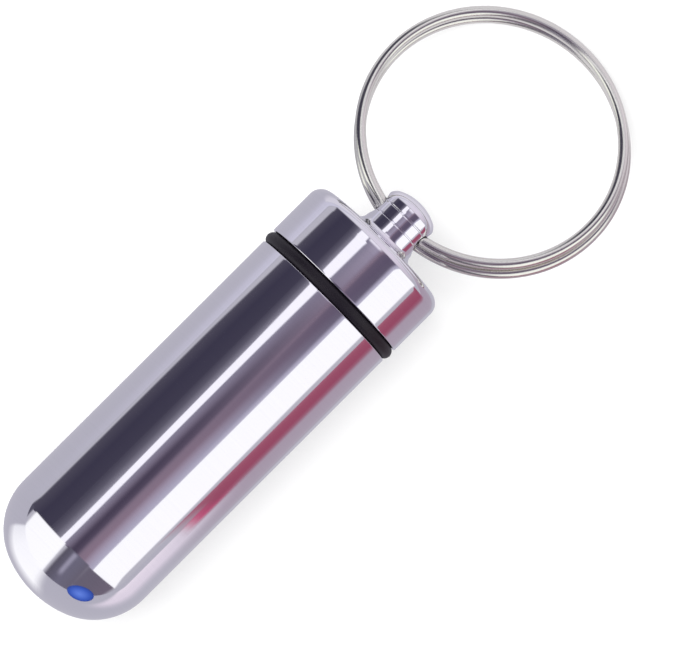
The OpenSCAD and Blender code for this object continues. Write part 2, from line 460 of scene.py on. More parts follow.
corner_back = CAP_CROWN_R - math.sqrt((CAP_CROWN_R - CAP_CORNER_R) ** 2 - (cap_r - CAP_CORNER_R) ** 2)
corner_half = math.degrees(math.asin((cap_r - CAP_CORNER_R) / (CAP_CROWN_R - CAP_CORNER_R)))
crown_centre = crown_at - CAP_CROWN_R
foot_r = KNOB_R + KNOB_FILLET_R
foot = math.degrees(math.asin(foot_r / (CAP_CROWN_R + KNOB_FILLET_R)))
foot_at = crown_centre + (CAP_CROWN_R + KNOB_FILLET_R) * math.cos(math.radians(foot))

shoulder = arc((cap_r - CAP_CORNER_R, crown_at - corner_back), CAP_CORNER_R, 0, 90 - corner_half)
crown = arc((0, crown_centre), CAP_CROWN_R, 90 - corner_half, 90 - foot, CROWN_STEP)
fillet = arc((foot_r, foot_at), KNOB_FILLET_R, 270 - foot, 180)
knob_top = rounded_end(KNOB_R, KNOB_CORNER_R, KNOB_CROWN_R, top_at)
knob_side = spaced(np.vstack([fillet[-1:], knob_top[:1]]), KNOB_ROWS)[1:-1]
side_row = [[cap_r, shoulder[0, 1] - SUPPORT]]
cap_outline = np.vstack([inside[:-1], side_row, shoulder, crown[1:], fillet[1:], knob_side, knob_top])
print(f"cap outline: {len(cap_outline)} points, crown at {crown_at:.2f}, foot at {foot_at:.2f} mm")

# %% [markdown]
# The cap's thread stands inwards from the bore. It uses the neck's wave half a turn on, which is half
# a pitch, and its crests reach into the neck's roots. It fades out before the rim and before the
# ceiling, where a real thread is relieved so that the tool can run out.

# %% Turn the cap with its thread
def bore_relief(angle, place):
    """The thread's depth less the neck's wave half a turn on, shown only between rim and ceiling."""
    shown = ramp(place, rim_at + 0.6, rim_at + 1.2) * ramp(place, CEILING_AT - 0.5, CEILING_AT - 1.0)
    height = (THREAD_DEPTH - thread_wave(angle + np.pi, place)) * shown
    return np.where(in_bore(cap_outline)[:, None], height, 0)


cap_points = turned(cap_outline, bore_relief)
print("cap grid:", cap_points.shape[:2])

# %% [markdown]
# ## The hole through the knob
#
# The ring's hole goes right across the knob, and a hole in a turned surface is the hard part. A
# boolean cut would leave ragged triangles, and those would show as dents in the mirror. Instead a
# window is left open in the turned grid, and a second grid fills it: its columns run round the hole,
# and its rows lead from the edge of the window to the rim, over the broken edge of the rim, through
# the knob, and out again on the other side.
#
# The window is a rectangle in the grid: some rows of the outline, and an eighth of a turn to each
# side of the hole.

# %% Choose the window
HOLE_R, RIM_EASE, HOLE_DROP = 1.5, 0.15, 2.8
HOLE_AT = top_at - HOLE_DROP
WINDOW = (HOLE_AT - 1.95, HOLE_AT + 1.8)
EIGHTH = SIDES // 8

outer_rows = np.flatnonzero(cap_outline[:, 1] >= crown_at - 0.2)
outer_rows = outer_rows[outer_rows > len(inside)]
first_row = outer_rows[np.argmin(np.abs(cap_outline[outer_rows, 1] - WINDOW[0]))]
last_row = outer_rows[np.argmin(np.abs(cap_outline[outer_rows, 1] - WINDOW[1]))]
knob_outline = cap_outline[first_row:last_row + 1]
print(f"window: {len(knob_outline)} rows and {2 * EIGHTH} columns, hole at {HOLE_AT:.2f} mm")

# %% [markdown]
# Every point of the filling is put on the knob's own surface, whose radius is read off the outline.
# So the filled window has exactly the shape that the turned grid would have there.

# %% Find points on the knob
def knob_radius(place):
    """Radius of the knob at a place along it, read off its outline."""
    return np.interp(place, knob_outline[:, 1], knob_outline[:, 0])


def on_knob(place, angle):
    """Points in mm from the axis, on the knob's surface on the side where the angle is 0."""
    r = knob_radius(place)
    return np.stack([place, r * np.cos(angle), r * np.sin(angle)], axis=-1)


print(f"knob radius {knob_radius(HOLE_AT):.2f} mm beside the hole")

# %% [markdown]
# Going once round the edge of the window gives the outer loop: over its top, down one side, along the
# bottom and up the other side. These are the turned grid's own points, so both grids meet without a
# gap. Each point also gets a bearing, which is its direction from the middle of the hole. The rim's
# point at the same bearing belongs to it.

# %% Walk round the window
column_step = 2 * np.pi / SIDES
across = np.arange(0, EIGHTH + 1) * column_step
rows_up = knob_outline[:, 1]
loop_place = np.concatenate([
    np.full(EIGHTH, rows_up[-1]), rows_up[::-1][:-1], np.full(2 * EIGHTH, rows_up[0]),
    rows_up[:-1], np.full(EIGHTH, rows_up[-1])])
loop_angle = np.concatenate([
    across[:-1], np.full(len(rows_up) - 1, across[-1]),
    np.linspace(across[-1], -across[-1], 2 * EIGHTH, endpoint=False),
    np.full(len(rows_up) - 1, -across[-1]), -across[:0:-1]])
window_reach = np.where(loop_place > HOLE_AT, rows_up[-1] - HOLE_AT, HOLE_AT - rows_up[0])
bearing = np.arctan2(loop_angle / across[-1], (loop_place - HOLE_AT) / window_reach)
print(len(bearing), "points round the window")

# %% [markdown]
# The rim is a circle round the hole's own axis, pressed on to the knob. Between the window's edge and
# the rim each point is a mix of the two in (place, angle). The edge of the hole is then broken with a
# curve that starts along the surface and ends along the hole's wall.

# %% Fill the window up to the hole
WINDOW_STEPS, EASE_STEPS = 12, 6


def rim_point(radius):
    """Places and angles of a circle round the hole's axis, pressed on to the knob.

    The place is radius * cos b beside the hole's, and the angle's sine is radius * sin b / knob radius.
    """
    place = HOLE_AT + radius * np.cos(bearing)
    z = radius * np.sin(bearing)
    return place, np.arcsin(z / knob_radius(place))


rim_place, rim_angle = rim_point(HOLE_R + RIM_EASE)
share = np.linspace(1, 0, WINDOW_STEPS + 1)[:, None]
mixed_place = rim_place + (loop_place - rim_place) * share
mixed_angle = rim_angle + (loop_angle - rim_angle) * share
window = on_knob(mixed_place, mixed_angle)

edge_outside = on_knob(rim_place, rim_angle)
edge_corner = on_knob(*rim_point(HOLE_R))
edge_inside = edge_corner - [0, RIM_EASE, 0]
t = np.linspace(0, 1, EASE_STEPS + 1)[1:, None, None]
rim = (1 - t) ** 2 * edge_outside + 2 * t * (1 - t) * edge_corner + t**2 * edge_inside
print("window", window.shape[:2], "and rim", rim.shape[:2])

# %% [markdown]
# The wall of the hole joins both rims. It is the inner edge repeated, with its distance from the axis
# shrinking to nothing and growing again on the far side, where the same window is used mirrored.

# %% Carry the hole through the knob
WALL_ROWS = 15

half_way = np.vstack([window, rim])
depth = np.linspace(1, -1, WALL_ROWS + 2)[1:-1, None]
wall = np.repeat(edge_inside[None], WALL_ROWS, axis=0)
wall[:, :, 1] *= depth
hole_grid = np.vstack([half_way, wall, half_way[::-1] * [1, -1, 1]])
hole_points = np.array([TIP_X, AXIS_Y, AXIS_Z]) + hole_grid * MM
print("hole grid:", hole_points.shape[:2])

# %% [markdown]
# Both grids become one mesh. The faces inside the two windows are left out of the turned grid, the
# hole's grid is added, and the points that both share are merged. The printed count of open edges
# says whether they met.

# %% Make the cap
cap_faces = quads(*cap_points.shape[:2])
row, column = np.divmod(cap_faces[:, 0], SIDES)
turn_to = (column + 0.5) % (SIDES // 2)
beside_hole = (turn_to < EIGHTH) | (turn_to > SIDES // 2 - EIGHTH)
in_window = (row >= first_row) & (row < last_row) & beside_hole
hole_faces = quads(*hole_points.shape[:2]) + cap_points.shape[0] * cap_points.shape[1]
cap = solid(
    "turned_cap", np.vstack([cap_points.reshape(-1, 3), hole_points.reshape(-1, 3)]),
    np.vstack([cap_faces[~in_window], hole_faces]), outward=True)

# %% [markdown]
# ## The split ring
#
# The ring is one wire wound twice. The two turns lie on each other, and the wire steps over from one
# to the other in a short stretch, with an end of the wire on each side of it. Here the step sits in
# the knob's hole. A curve object with a bevel could carry the wire, but its ends would be flat and
# its length hard to state. So the path is worked out: an angle that runs on for two turns less the
# step, and, at both ends, a few close sections that shrink along a quarter circle, as the ends of cut
# wire are rounded.

# %% Space the sections along the wire
WIRE_R = 0.57
STEP_AT, STEP_ARC = 0.0, 22.0
TIP_ARC, TIP_ROWS, TIP_FLAT = 2.4, 7, 0.45
WIRE_STEP = 1.5

wire_from = STEP_AT + STEP_ARC / 2
wire_to = wire_from + 720 - STEP_ARC
tip = TIP_ARC * (1 - np.cos(np.radians(np.linspace(0, 90, TIP_ROWS + 1)[:-1])))
middle = np.linspace(wire_from + TIP_ARC, wire_to - TIP_ARC, int((wire_to - wire_from) / WIRE_STEP))
wire_angle = np.concatenate([wire_from + tip, middle, wire_to - tip[::-1]])
from_end = np.minimum(wire_angle - wire_from, wire_to - wire_angle) / TIP_ARC
wire_share = TIP_FLAT + (1 - TIP_FLAT) * np.sqrt(1 - (1 - np.clip(from_end, 0, 1)) ** 2)
print(f"{len(wire_angle)} sections from {wire_from:.0f} to {wire_to:.0f} degrees")

# %% [markdown]
# The lower turn is a circle, and so is the upper one: a little tighter, slid a little to one side,
# and one wire higher. A smooth step, w, takes radius, centre and height from the one to the other.

# %% Draw the path of the wire
RING_OUTER_R = 13.935
TURN_STEP, TURN_SLIP, TURN_H = 0.15, 0.42, WIRE_R + 0.02
# How much nearer than its own radius the middle of each turn lies to the knob
LOWER_BACK, UPPER_BACK = 0.42, 0.19

lower_r = RING_OUTER_R - WIRE_R
upper_r = lower_r - TURN_STEP
through_step = np.clip((wire_angle - STEP_AT - 360 + STEP_ARC / 2) / STEP_ARC, 0, 1)
w = through_step**2 * (3 - 2 * through_step)
turn_r = lower_r + (upper_r - lower_r) * w
turn_out = (lower_r - LOWER_BACK) * (1 - w) + (upper_r - UPPER_BACK) * w
a = np.radians(wire_angle)
outward = np.column_stack([-np.cos(a), np.sin(a), 0 * a])
wire_line = turn_r[:, None] * outward
wire_line += np.column_stack([turn_out, TURN_SLIP * (w - 0.5), TURN_H * (2 * w - 1)])
print(f"wire: {np.hypot(*np.diff(wire_line[:, :2], axis=0).T).sum():.0f} mm long")

# %% [markdown]
# A round section is carried along the path. Its two directions are outwards from the ring's middle
# and straight up, which hardly differ from square to the wire, because the step is long against its
# height. The finished ring is then tipped as it lies: fallen from the knob to the table, leaned over
# and swung a little.

# %% Make the wire
WIRE_SIDES = 28
RING_LEAN, RING_FALL, RING_YAW = -4.0, 15.9, -2.1

b = 2 * np.pi * np.arange(WIRE_SIDES) / WIRE_SIDES
reach = (WIRE_R * wire_share)[:, None, None]
wire_grid = wire_line[:, None, :] + reach * (
    np.cos(b)[None, :, None] * outward[:, None, :] + np.sin(b)[None, :, None] * np.array([0, 0, 1.0]))
ends = np.repeat(wire_line[[0, -1], None, :], WIRE_SIDES, axis=1)
wire_grid = np.vstack([ends[:1], wire_grid, ends[1:]])
lie = Euler([math.radians(v) for v in (RING_LEAN, RING_FALL, RING_YAW)]).to_matrix()
ring_points = wire_grid @ np.array(lie).T + [HOLE_AT, 0, 0]
ring_points = np.array([TIP_X, AXIS_Y, AXIS_Z]) + ring_points * MM
ring = solid("split_ring_wire", ring_points, quads(*ring_points.shape[:2]), outward=True)

# %% [markdown]
# ## Riding and replacing
#
# Each fine surface stands for the CAD piece of the same shape, so that piece is hidden. It moves with
# the same body: the rubber ring turns with the screw, the cap also climbs, and the ring swings in the
# knob.

# %% Put the pieces on their bodies
for made, node, rides_on, slot in (
        (body, "body", "capsule", "aluminium"), (seal, "o_ring", "seal", "rubber"),
        (cap, "screw_cap", "cap", "aluminium"), (ring, "split_ring", "ring", "plated_wire")):
    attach(made, rides_on)
    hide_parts(node)
    print(f"{made.name} rides on {rides_on}")

# %% [markdown]
# ## Helpers for finishes
#
# A finish is a small tree of shader nodes. One function adds a node, sets its properties, and fills
# or links its inputs, so that each finish below reads like a list. Colours are written as the hex
# values that a colour picker shows, and a second function turns them into the linear numbers that
# light adds up in.

# %% Add nodes and turn colours to linear
def linear(hex_colour):
    """sRGB hex to linear: c / 12.92 below 0.04045 and ((c + 0.055) / 1.055) ^ 2.4 above, with alpha 1."""
    c = np.array([int(hex_colour[k:k + 2], 16) / 255 for k in (1, 3, 5)])
    return (*np.where(c <= 0.04045, c / 12.92, ((c + 0.055) / 1.055) ** 2.4), 1.0)


def add(tree, kind, inputs=None, **settings):
    """Adds a shader node. inputs gives a socket its value, or the output that feeds it."""
    made = tree.nodes.new("ShaderNode" + kind)
    for name, value in settings.items():
        setattr(made, name, value)
    for socket, value in (inputs or {}).items():
        if isinstance(value, bpy.types.NodeSocket):
            tree.links.new(value, made.inputs[socket])
        else:
            made.inputs[socket].default_value = value
    return made


def new_finish(name):
    """An empty material with its output node."""
    material = bpy.data.materials.new(name)
    material.use_nodes = True
    material.node_tree.nodes.clear()
    return material, material.node_tree, add(material.node_tree, "OutputMaterial")


print(f"mid grey #808080 is {linear('#808080')[0]:.3f} in linear light")

# %% [markdown]
# ## Polished aluminium
#
# Body and cap are turned from 6000-series aluminium, polished on the lathe and clear anodised. Fresh
# aluminium reflects about nine tenths of the light; polish and the clear coat bring it to about eight
# tenths, with a faint cool cast. The polishing cloth runs round the part, so the fine marks that it
# leaves are rings: they follow the place along the axis on the side, and the distance from the axis
# on the ends. Both go into one pattern. Real marks are 5 to 20 microns apart and can't be seen at
# this size, so they are drawn 0.25 mm apart and very shallow. Handling leaves soft patches a few
# millimetres wide.

# %% Draw the polishing marks
RING_MARK_MM, PATCH_MM = 0.25, 5.0
MARK_DEPTH_MM = 0.00015

aluminium, tree, output = new_finish("polished_clear_anodised_aluminium")
place = add(tree, "TexCoord").outputs["Object"]
centred = add(tree, "Mapping", {"Vector": place, "Location": (0, -AXIS_Y, -AXIS_Z)}).outputs[0]
parts = add(tree, "SeparateXYZ", {"Vector": centred})
sideways = add(tree, "CombineXYZ", {"Y": parts.outputs["Y"], "Z": parts.outputs["Z"]}).outputs[0]
from_axis = add(tree, "VectorMath", {0: sideways}, operation="LENGTH").outputs["Value"]
rings = add(tree, "CombineXYZ", {"X": parts.outputs["X"], "Y": from_axis}).outputs[0]
marks = add(tree, "TexNoise", {
    "Vector": rings, "Scale": 1 / (RING_MARK_MM * MM), "Detail": 3.0, "Roughness": 0.6},
    noise_dimensions="2D").outputs["Fac"]
patches = add(tree, "TexNoise", {
    "Vector": centred, "Scale": 1 / (PATCH_MM * MM), "Detail": 3.0}).outputs["Fac"]
relief = add(tree, "Bump", {"Height": marks, "Strength": 0.3, "Distance": MARK_DEPTH_MM * MM})
print(f"polishing marks every {RING_MARK_MM} mm, {MARK_DEPTH_MM * 1000:.2f} microns deep")

# %% [markdown]
# The knob is too small for the cloth, and two fine lines of the turning tool still show on it, one on
# each side of the hole's middle. They are measured from the place along the axis, so they go right
# round, and are cut by bump alone, because at 0.3 mm wide they don't change the knob's outline.

# %% Draw the tool's two lines
LINES_AT, LINES_APART = HOLE_AT + 0.02, 1.25
LINE_HALF_WIDTH, LINE_DEPTH = 0.15, 0.045

from_middle = add(tree, "Math", {
    0: parts.outputs["X"], 1: TIP_X + LINES_AT * MM}, operation="SUBTRACT").outputs[0]
off_middle = add(tree, "Math", {0: from_middle}, operation="ABSOLUTE").outputs[0]
beside_line = add(tree, "Math", {
    0: off_middle, 1: LINES_APART / 2 * MM}, operation="SUBTRACT").outputs[0]
off_line = add(tree, "Math", {0: beside_line}, operation="ABSOLUTE").outputs[0]
line = add(tree, "MapRange", {
    "Value": off_line, "From Max": LINE_HALF_WIDTH * MM}, interpolation_type="SMOOTHSTEP")
cut = add(tree, "Bump", {
    "Height": line.outputs[0], "Strength": 1.0, "Distance": LINE_DEPTH * MM,
    "Normal": relief.outputs[0]})
print(f"lines at {LINES_AT - LINES_APART / 2:.2f} and {LINES_AT + LINES_APART / 2:.2f} mm")

# %% [markdown]
# The patches change only the gloss. The marks carry a hint of tone as well: where light rakes across
# a polished side, the rings are what gives it a grain.

# %% Make the aluminium
tone = add(tree, "MixRGB", {"Fac": marks, "Color1": linear("#E3E2E8"), "Color2": linear("#E8E7ED")})
gloss = add(tree, "MapRange", {
    "Value": patches, "From Min": 0.3, "From Max": 0.7, "To Min": 0.045, "To Max": 0.075})
shader = add(tree, "BsdfPrincipled", {
    "Base Color": tone.outputs[0], "Metallic": 1.0, "Roughness": gloss.outputs[0],
    "Normal": cut.outputs[0]})
tree.links.new(shader.outputs[0], output.inputs["Surface"])
print(f"{aluminium.name}: {len(tree.nodes)} nodes")

# %% [markdown]
# ## Nitrile rubber
#
# O-rings are moulded from black nitrile rubber. It is filled with carbon black, so hardly any light
# comes back from inside, and its skin is satin: a soft, wide highlight and no reflections. A faint
# grain of about 0.1 mm breaks the highlight up.

# %% Make the rubber
RUBBER_GRAIN_MM, RUBBER_WEAR_MM, GRAIN_DEPTH_MM = 0.12, 2.0, 0.01

rubber, tree, output = new_finish("moulded_nitrile_rubber")
place = add(tree, "TexCoord").outputs["Object"]
grain = add(tree, "TexNoise", {
    "Vector": place, "Scale": 1 / (RUBBER_GRAIN_MM * MM), "Detail": 2.0}).outputs["Fac"]
wear = add(tree, "TexNoise", {
    "Vector": place, "Scale": 1 / (RUBBER_WEAR_MM * MM), "Detail": 3.0}).outputs["Fac"]
tone = add(tree, "MixRGB", {"Fac": wear, "Color1": linear("#0E0A12"), "Color2": linear("#151019")})
satin = add(tree, "MapRange", {"Value": wear, "To Min": 0.42, "To Max": 0.58})
skin = add(tree, "Bump", {"Height": grain, "Strength": 0.25, "Distance": GRAIN_DEPTH_MM * MM})
shader = add(tree, "BsdfPrincipled", {
    "Base Color": tone.outputs[0], "Roughness": satin.outputs[0], "IOR": 1.52, "Specular IOR Level": 0.3,
    "Normal": skin.outputs[0]})
tree.links.new(shader.outputs[0], output.inputs["Surface"])
print(f"{rubber.name}: {len(tree.nodes)} nodes")

# %% [markdown]
# ## The wire's own map
#
# Drawing leaves fine lines along the wire. The wire bends all the way round, so a pattern on object
# coordinates would cut across it: the mesh gets a UV map with the millimetres round the wire and
# along it, and the lines follow that. Each vertex is turned back to where it was before the ring fell
# on the table. Its distance from the middle circle and its height then say where it is round the
# wire, and its direction from the middle of the ring says how far along it is.

# %% Give the wire its map
ring_mesh = ring.data
wire_map = ring_mesh.uv_layers.new(name="along_wire")
corner_vertex = np.zeros(len(ring_mesh.loops), np.int32)
ring_mesh.loops.foreach_get("vertex_index", corner_vertex)
vertex_place = np.zeros(len(ring_mesh.vertices) * 3, np.float32)
ring_mesh.vertices.foreach_get("co", vertex_place)
flat = (vertex_place.reshape(-1, 3) - [TIP_X, AXIS_Y, AXIS_Z]) / MM - [HOLE_AT, 0, 0]
flat = flat @ np.array(lie) - [lower_r, 0, 0]
round_ring = np.arctan2(flat[:, 1], -flat[:, 0]) * lower_r
off_ring = np.hypot(flat[:, 0], flat[:, 1]) - lower_r
wire_uv = np.column_stack([off_ring + flat[:, 2], round_ring])[corner_vertex]
wire_map.data.foreach_set("uv", wire_uv.astype(np.float32).ravel())
print(f"wire map: {wire_uv[:, 1].min():.1f} to {wire_uv[:, 1].max():.1f} mm round the ring")

# %% [markdown]
# ## Nickel-plated spring wire
#
# The split ring is drawn steel wire with a bright nickel plate. Nickel reflects less than aluminium
# and is a touch warmer, and it doesn't fill the lines that drawing leaves. Real ones are a few
# microns wide; here they are 0.12 mm, the finest that the picture can show. The plate is rubbed by
# keys, which changes its gloss.

# %% Make the nickel plate
DRAW_LINE_MM, DRAW_LENGTH_MM, DRAW_DEPTH_MM = 0.12, 12.0, 0.002
RUBBED_MM = 3.0

nickel, tree, output = new_finish("bright_nickel_plated_wire")
on_wire = add(tree, "UVMap", uv_map="along_wire").outputs[0]
stretched = add(tree, "Mapping", {
    "Vector": on_wire, "Scale": (1 / DRAW_LINE_MM, 1 / DRAW_LENGTH_MM, 1)}).outputs[0]
lines = add(tree, "TexNoise", {
    "Vector": stretched, "Scale": 1.0, "Detail": 2.0}, noise_dimensions="2D").outputs["Fac"]
place = add(tree, "TexCoord").outputs["Object"]
rubbed = add(tree, "TexNoise", {
    "Vector": place, "Scale": 1 / (RUBBED_MM * MM), "Detail": 3.0}).outputs["Fac"]
gloss = add(tree, "MapRange", {
    "Value": rubbed, "From Min": 0.3, "From Max": 0.7, "To Min": 0.17, "To Max": 0.23})
tone = add(tree, "MixRGB", {"Fac": lines, "Color1": linear("#D8D8D0"), "Color2": linear("#E3E3DB")})
drawn = add(tree, "Bump", {"Height": lines, "Strength": 0.4, "Distance": DRAW_DEPTH_MM * MM})
shader = add(tree, "BsdfPrincipled", {
    "Base Color": tone.outputs[0], "Metallic": 1.0, "Roughness": gloss.outputs[0],
    "Normal": drawn.outputs[0]})
tree.links.new(shader.outputs[0], output.inputs["Surface"])
print(f"{nickel.name}: {len(tree.nodes)} nodes")

# %% [markdown]
# Body and cap share one finish, as they come from the same bar and the same polishing wheel. Its
# pattern is read from where a point lies on the object, so it runs on across the seal from one to the
# other.

# %% Give each piece its finish
for made, finish in ((body, aluminium), (cap, aluminium), (seal, rubber), (ring, nickel)):
    made.data.materials.append(finish)
    print(f"{made.name}: {finish.name}")

# %% [markdown]
# ## The table
#
# The photograph's ground is pure white, but its metal shows pale grey paper and a pale grey room. So
# camera rays see white paper that keeps a light shadow under the object, and the mirror's rays,
# glossy and transmitted, see the same paper at its own pale grey. More light would whiten it too, but
# it would fall on the object as well.

# %% Make the paper
PAPER_IN_MIRROR = "#C4C2CD"
# A touch over 1, so that unshadowed paper is white, and the share of it that a shadow can take away
PAPER_WHITE, SHADOW_SHARE = 1.02, 0.45


def ray_kinds(tree):
    """Two outputs that are 1 for rays from the camera, and for rays that a mirror or glass has sent on."""
    rays = add(tree, "LightPath")
    sent_on = add(
        tree, "Math", {0: rays.outputs["Is Glossy Ray"], 1: rays.outputs["Is Transmission Ray"]},
        operation="MAXIMUM")
    return rays.outputs["Is Camera Ray"], sent_on.outputs[0]


paper, tree, output = new_finish("matt_white_paper")
from_camera, from_mirror = ray_kinds(tree)
lit = add(tree, "BsdfDiffuse", {"Color": (SHADOW_SHARE, SHADOW_SHARE, SHADOW_SHARE, 1)})
glow = add(tree, "Emission", {"Strength": PAPER_WHITE - SHADOW_SHARE})
seen = add(tree, "AddShader", {0: lit.outputs[0], 1: glow.outputs[0]})
plain = add(tree, "BsdfDiffuse", {"Color": linear("#E6E6E6")})
grey = add(tree, "Emission", {"Color": linear(PAPER_IN_MIRROR)})
other = add(tree, "MixShader", {0: from_mirror, 1: plain.outputs[0], 2: grey.outputs[0]})
paper_shader = add(tree, "MixShader", {0: from_camera, 1: other.outputs[0], 2: seen.outputs[0]})
tree.links.new(paper_shader.outputs[0], output.inputs["Surface"])

print(f"{paper.name}: {len(tree.nodes)} nodes")

# %% Lay the paper
FLOOR_SIZE = 6.0

half = FLOOR_SIZE / 2
floor_corners = [(-half, -half, 0), (half, -half, 0), (half, half, 0), (-half, half, 0)]
floor_mesh = bpy.data.meshes.new("paper_floor")
floor_mesh.from_pydata(floor_corners, [], [(0, 1, 2, 3)])
floor_mesh.materials.append(paper)
floor = bpy.data.objects.new("paper_floor", floor_mesh)
bpy.context.scene.collection.objects.link(floor)
print(f"paper floor {FLOOR_SIZE} m wide")

# %% [markdown]
# The world does the same behind the paper: white for the camera, the room's pale grey for the mirror,
# and an even, weak fill of light for everything matt.

# %% Make the room
ROOM_IN_MIRROR, FILL = "#C9C7D0", 0.55

world = bpy.data.worlds.new("studio")
bpy.context.scene.world = world
world.use_nodes = True
tree = world.node_tree
tree.nodes.clear()
from_camera, from_mirror = ray_kinds(tree)
fill = add(tree, "Background", {"Color": (1, 1, 1, 1), "Strength": FILL})
room = add(tree, "Background", {"Color": linear(ROOM_IN_MIRROR), "Strength": 1.0})
white = add(tree, "Background", {"Color": (1, 1, 1, 1), "Strength": 1.0})
behind = add(tree, "MixShader", {0: from_mirror, 1: fill.outputs[0], 2: room.outputs[0]})
backdrop = add(tree, "MixShader", {0: from_camera, 1: behind.outputs[0], 2: white.outputs[0]})
tree.links.new(backdrop.outputs[0], add(tree, "OutputWorld").inputs["Surface"])
print(f"{world.name}: {len(tree.nodes)} nodes")

# %% [markdown]
# ## The lamp
#
# One large soft lamp overhead lights the matt things, the rubber and the paper. It is hidden from the
# mirror's rays, because what the metal shows is laid out separately with cards.

# %% Place the lamp
LAMP_SIZE, LAMP_WATTS = 0.7, 9.0
LAMP_PLACE = (-0.15, 0.2, 0.8)

lamp = bpy.data.objects.new("soft_lamp", bpy.data.lights.new("soft_lamp", "AREA"))
bpy.context.scene.collection.objects.link(lamp)
lamp.data.shape = "SQUARE"
lamp.data.size = LAMP_SIZE
lamp.data.energy = LAMP_WATTS
lamp.location = LAMP_PLACE
lamp.rotation_euler = (Vector((0, 0, 0)) - lamp.location).to_track_quat("-Z", "Y").to_euler()
lamp.visible_glossy = False
lamp.visible_camera = False
print(f"lamp of {LAMP_WATTS} W, {lamp.location.length:.2f} m away")

# %% [markdown]
# ## Cards round the mirror
#
# Polished metal has hardly any look of its own: it shows dark cards, light cards and their edges. A
# picture of a studio wrapped round the scene would do it too, but plain cards are easier to move and
# to understand. They glow at the tone that the metal should show, and the glow is divided by what the
# metal reflects. Two values at each point of a card say what it looks like: its tone, and its cover,
# which lets it fade out at its edges as a card does that stands close to the lens.

# %% Make the cards' finish
card_tones, tree, output = new_finish("studio_card")
tone = add(tree, "Attribute", attribute_name="tone").outputs["Color"]
cover = add(tree, "Attribute", attribute_name="cover").outputs["Fac"]
glow = add(tree, "Emission", {"Color": tone})
clear = add(tree, "BsdfTransparent")
faded = add(tree, "MixShader", {0: cover, 1: clear.outputs[0], 2: glow.outputs[0]})
tree.links.new(faded.outputs[0], output.inputs["Surface"])
print(f"{card_tones.name}: {len(tree.nodes)} nodes")

# %% [markdown]
# Every card is a grid of points. Its tones run across it, from its left edge to its right, and its
# four edges each have a share of the card over which they fade.

# %% Fade a card's edges
def soft(share, first, last):
    """Cover along a share of 0 to 1: a smooth step up over `first`, and one down over `last`."""
    rise = np.clip(share / first, 0, 1) if first else 1.0
    fall = np.clip((1 - share) / last, 0, 1) if last else 1.0
    return (rise * rise * (3 - 2 * rise)) * (fall * fall * (3 - 2 * fall)) + 0 * share


print("cover across a card:", np.round(soft(np.linspace(0, 1, 5), 0.5, 0.25), 2))

# %% [markdown]
# Tone and cover go into the mesh as attributes, which the finish above reads. A card is met by mirror
# rays only and casts no shadow, so it can stand between the lens and the object. The list of cards is
# kept, because the place of each depends on how many there are already.

# %% Put up a card
METAL_REFLECTS = 0.79
cards = []


def place_card(name, points, tones, edges):
    """A card from a grid of points. edges are its soft shares: left, right, near and far."""
    rows, columns = points.shape[:2]
    faces = quads(rows, columns)
    faces = faces[faces[:, 1] % columns != 0]
    mesh = bpy.data.meshes.new(name)
    mesh.from_pydata(points.reshape(-1, 3).tolist(), [], faces.tolist())
    shares = np.linspace(0, 1, columns)
    ladder = np.array([linear(tone) for tone in tones]) / METAL_REFLECTS
    colour = [np.interp(shares, np.linspace(0, 1, len(tones)), channel) for channel in ladder.T]
    colour = np.broadcast_to(np.stack(colour, axis=-1), (rows, columns, 4))
    cover = soft(shares, *edges[:2])[None, :] * soft(np.linspace(0, 1, rows), *edges[2:])[:, None]
    tone_of = mesh.attributes.new("tone", "FLOAT_COLOR", "POINT")
    tone_of.data.foreach_set("color", colour.astype(np.float32).ravel())
    cover_of = mesh.attributes.new("cover", "FLOAT", "POINT")
    cover_of.data.foreach_set("value", cover.astype(np.float32).ravel())
    mesh.materials.append(card_tones)
    card = bpy.data.objects.new(name, mesh)
    bpy.context.scene.collection.objects.link(card)
    card.visible_camera = card.visible_diffuse = card.visible_shadow = card.visible_transmission = False
    cards.append(name)


print(f"a card tone of #C0C0C0 glows at {linear('#C0C0C0')[0] / METAL_REFLECTS:.2f}")

# %% [markdown]
# Most cards stand on a wide dome round the object. Each is laid out on a map of that dome as it would
# look to someone lying where the capsule is and looking straight up: one angle says how far the card
# is from straight up towards the right of the capsule (-Y), and the other how far towards the ring
# (+X). A long capsule shows a card as a stripe, because only the first angle changes across it. The
# rounded end and the cap's shoulder bend the second angle too, and there the stripes end. Each card
# hangs a millimetre lower than the one before, so a later card covers an earlier one.

# %% Lay a card on the dome
DOME_R = 0.30
CARD_GRID = 33


def on_dome(sideways, ahead, radius):
    """Points of the dome: the length of (sideways, ahead) is the angle from straight up, to that side."""
    up = np.radians(np.hypot(sideways, ahead))
    side = np.arctan2(sideways, ahead)
    spot = np.stack([np.sin(up) * np.cos(side), -np.sin(up) * np.sin(side), np.cos(up)], axis=-1)
    return [0, AXIS_Y, AXIS_Z] + radius * spot


def dome_card(name, outline, tones, edges):
    """A card on the dome. outline lists (ahead, left edge, right edge) in degrees, from near to far."""
    ahead, left, right = np.array(outline, float).T
    onward = np.linspace(ahead[0], ahead[-1], CARD_GRID)
    left, right = np.interp(onward, ahead, left)[:, None], np.interp(onward, ahead, right)[:, None]
    sideways = left + (right - left) * np.linspace(0, 1, CARD_GRID)
    radius = DOME_R - len(cards) * MM
    place_card(name, on_dome(sideways, onward[:, None], radius), tones, edges)


print("straight up on the dome:", np.round(on_dome(0.0, 0.0, DOME_R), 3))

# %% [markdown]
# ## Overhead
#
# First comes what hangs over the capsule between its two bright stripes: a dim stretch in shades of
# violet grey, the camera's own dark shape in it, and, towards the cap, paler and darker patches.

